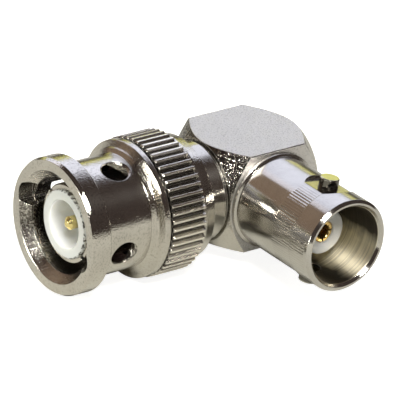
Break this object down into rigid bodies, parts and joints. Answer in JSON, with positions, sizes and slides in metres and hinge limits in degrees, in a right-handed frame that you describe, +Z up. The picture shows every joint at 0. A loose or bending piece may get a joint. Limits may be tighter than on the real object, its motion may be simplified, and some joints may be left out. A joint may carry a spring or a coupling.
{
  "type": "right-angle coax adapter",
  "caption": "Right-angle bayonet coax adapter: sprung knurled plug nut on one arm, studded jack on the other, joined by a square elbow block.",
  "frame": {"origin": "centre of the bounding box's bottom face, on the surface that the nut's knurl lies on", "axes": "-X is the plug's mating direction, -Y is the jack's mating direction, +Z is up"},
  "size_m": [0.0286, 0.0244, 0.0142],
  "materials": {
    "nickel_block": "satin nickel plate on brass",
    "nickel_nut": "bright nickel plate on brass",
    "nickel_barrel": "bright nickel plate on brass",
    "nickel_contact": "bright nickel plate on brass",
    "spring_steel": "plain spring steel",
    "gold_contact": "gold plate",
    "white_insulator": "white fluoropolymer",
    "gasket_rubber": "silicone rubber"
  },
  "bodies": {
    "adapter_body": {"elbow_body": "nickel_block", "plug_outer_contact": "nickel_contact", "plug_dielectric": "white_insulator", "plug_pin": "gold_contact", "face_gasket": "gasket_rubber", "front_thrust_washer": "spring_steel", "wave_spring": "spring_steel", "jack_barrel": "nickel_barrel", "upper_stud": "nickel_barrel", "lower_stud": "nickel_barrel", "jack_dielectric": "white_insulator", "jack_contact": "gold_contact"},
    "washer_carrier": {"rear_thrust_washer": "spring_steel"},
    "nut": {"coupling_nut": "nickel_nut"}
  },
  "joints": [
    {"name": "nut_slide", "type": "slide", "parent": "adapter_body", "child": "washer_carrier", "axis": [-1, 0, 0], "range_m": [0, 0.0007], "stiffness_N_per_m": 2000, "springref_m": -0.002, "deforming": ["wave_spring"]},
    {"name": "nut_turn", "type": "hinge", "parent": "washer_carrier", "child": "nut", "pos_m": [-0.005, 0.00511, 0.0071], "axis": [-1, 0, 0], "continuous": true}
  ]
}
